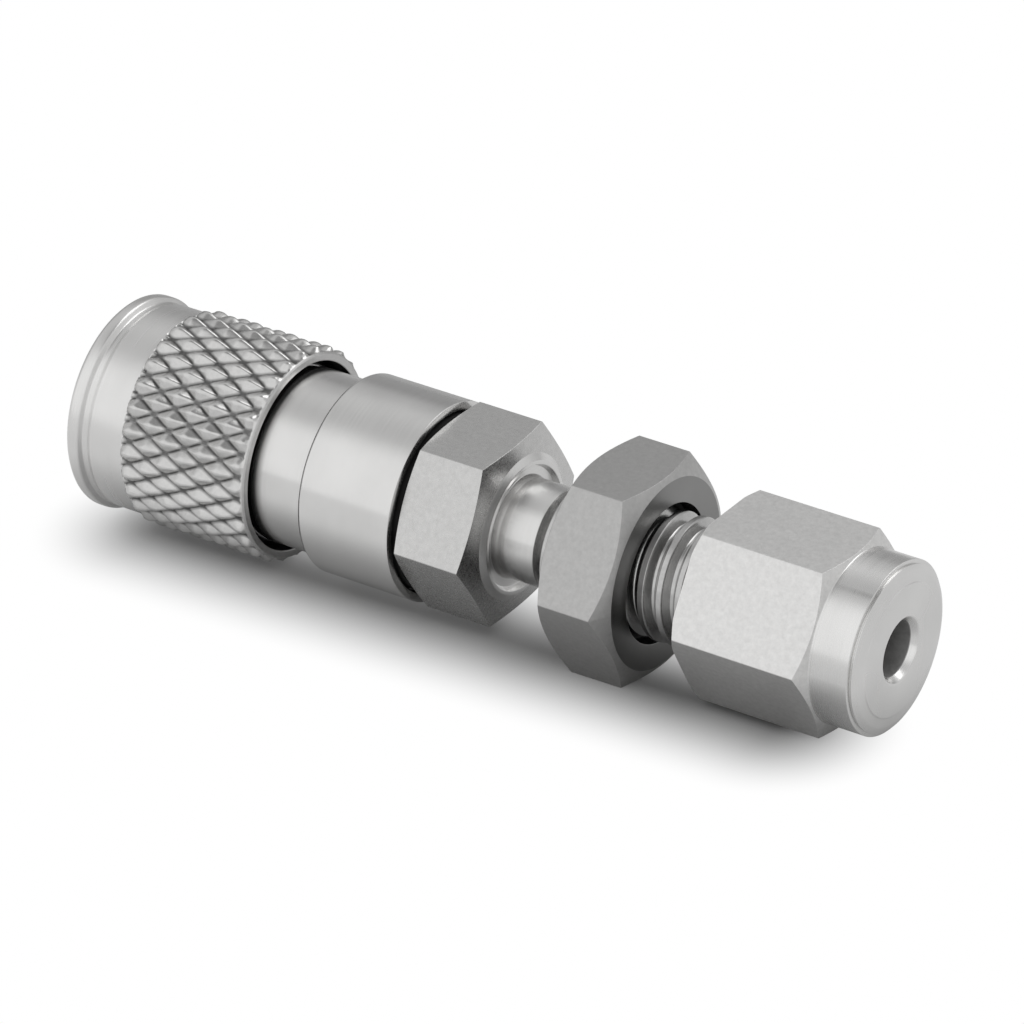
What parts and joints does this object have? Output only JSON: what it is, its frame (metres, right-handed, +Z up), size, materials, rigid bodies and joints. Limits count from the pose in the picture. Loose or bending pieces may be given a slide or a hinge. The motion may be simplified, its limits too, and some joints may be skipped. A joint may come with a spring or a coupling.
{
  "type": "quick connect coupling",
  "caption": "Small stainless quick connect coupling for a panel, with a knurled locking sleeve, a spring valve, a jam nut and a compression end for a tube.",
  "frame": {"origin": "on the axis, where the straight wall of the stem's socket starts, 0.4 mm inside the front body's end face", "axes": "+X along the axis from the stem's mouth to the tube's end, +Z up, square to a pair of the nuts' flats"},
  "size_m": [0.0554, 0.0146, 0.0136],
  "materials": {
    "body_steel": "turned satin",
    "sleeve_steel": "knurled satin",
    "nut_steel": "fine blasted satin",
    "ferrule_steel": "satin",
    "spring_steel": "drawn wire",
    "valve_steel": "turned",
    "ball_steel": "polished",
    "seal_rubber": "matt black",
    "backup_plastic": "plain white"
  },
  "bodies": {
    "body": {"front_body": "body_steel", "bulkhead_body": "body_steel", "body_seal": "seal_rubber", "sleeve_retaining_ring": "spring_steel", "stem_seal": "seal_rubber", "backup_ring": "backup_plastic", "poppet_guide": "valve_steel", "poppet_spring": "spring_steel"},
    "sleeve_spring": {"sleeve_spring": "spring_steel"},
    "sleeve": {"locking_sleeve": "sleeve_steel"},
    "ball_1": {"locking_ball_1": "ball_steel"},
    "ball_2": {"locking_ball_2": "ball_steel"},
    "ball_3": {"locking_ball_3": "ball_steel"},
    "ball_4": {"locking_ball_4": "ball_steel"},
    "ball_5": {"locking_ball_5": "ball_steel"},
    "ball_6": {"locking_ball_6": "ball_steel"},
    "poppet": {"poppet": "valve_steel", "poppet_seal": "seal_rubber"},
    "jam_nut": {"jam_nut": "nut_steel"},
    "ferrules": {"front_ferrule": "ferrule_steel", "back_ferrule": "ferrule_steel"},
    "tube_nut": {"tube_nut": "nut_steel"}
  },
  "joints": [
    {"name": "sleeve_slide", "type": "slide", "parent": "body", "child": "sleeve_spring", "axis": [1, 0, 0], "range_m": [0, 0.003], "stiffness_N_per_m": 280, "springref_m": -0.001, "deforming": ["sleeve_spring"]},
    {"name": "sleeve_spin", "type": "hinge", "parent": "sleeve_spring", "child": "sleeve", "pos_m": [0.006, 0, 0], "axis": [1, 0, 0], "continuous": true},
    {"name": "poppet_slide", "type": "slide", "parent": "body", "child": "poppet", "axis": [1, 0, 0], "range_m": [0, 0.002], "stiffness_N_per_m": 2200, "deforming": ["poppet_spring"]},
    {"name": "jam_nut_travel", "type": "slide", "parent": "body", "child": "jam_nut", "axis": [1, 0, 0], "range_m": [-0.0048, 0.004]},
    {"name": "ferrule_slide", "type": "slide", "parent": "body", "child": "ferrules", "axis": [1, 0, 0], "range_m": [0, 0.00635]},
    {"name": "tube_nut_spin", "type": "hinge", "parent": "ferrules", "child": "tube_nut", "pos_m": [0.0487, 0, 0], "axis": [1, 0, 0], "range_deg": [0, 1801]},
    {"name": "ball_1_slide", "type": "slide", "parent": "body", "child": "ball_1", "axis": [0, 0, 1], "range_m": [0, 0.0005]},
    {"name": "ball_2_slide", "type": "slide", "parent": "body", "child": "ball_2", "axis": [0, -0.866, 0.5], "range_m": [0, 0.0005]},
    {"name": "ball_3_slide", "type": "slide", "parent": "body", "child": "ball_3", "axis": [0, -0.866, -0.5], "range_m": [0, 0.0005]},
    {"name": "ball_4_slide", "type": "slide", "parent": "body", "child": "ball_4", "axis": [0, 0, -1], "range_m": [0, 0.0005]},
    {"name": "ball_5_slide", "type": "slide", "parent": "body", "child": "ball_5", "axis": [0, 0.866, -0.5], "range_m": [0, 0.0005]},
    {"name": "ball_6_slide", "type": "slide", "parent": "body", "child": "ball_6", "axis": [0, 0.866, 0.5], "range_m": [0, 0.0005]}
  ],
  "couplings": [
    {"joint": "tube_nut_spin", "follows": "ferrule_slide", "rad_per_m": 4947.4},
    {"joint": "ball_1_slide", "follows": "sleeve_slide", "ratio": 0.16667},
    {"joint": "ball_2_slide", "follows": "sleeve_slide", "ratio": 0.16667},
    {"joint": "ball_3_slide", "follows": "sleeve_slide", "ratio": 0.16667},
    {"joint": "ball_4_slide", "follows": "sleeve_slide", "ratio": 0.16667},
    {"joint": "ball_5_slide", "follows": "sleeve_slide", "ratio": 0.16667},
    {"joint": "ball_6_slide", "follows": "sleeve_slide", "ratio": 0.16667}
  ]
}
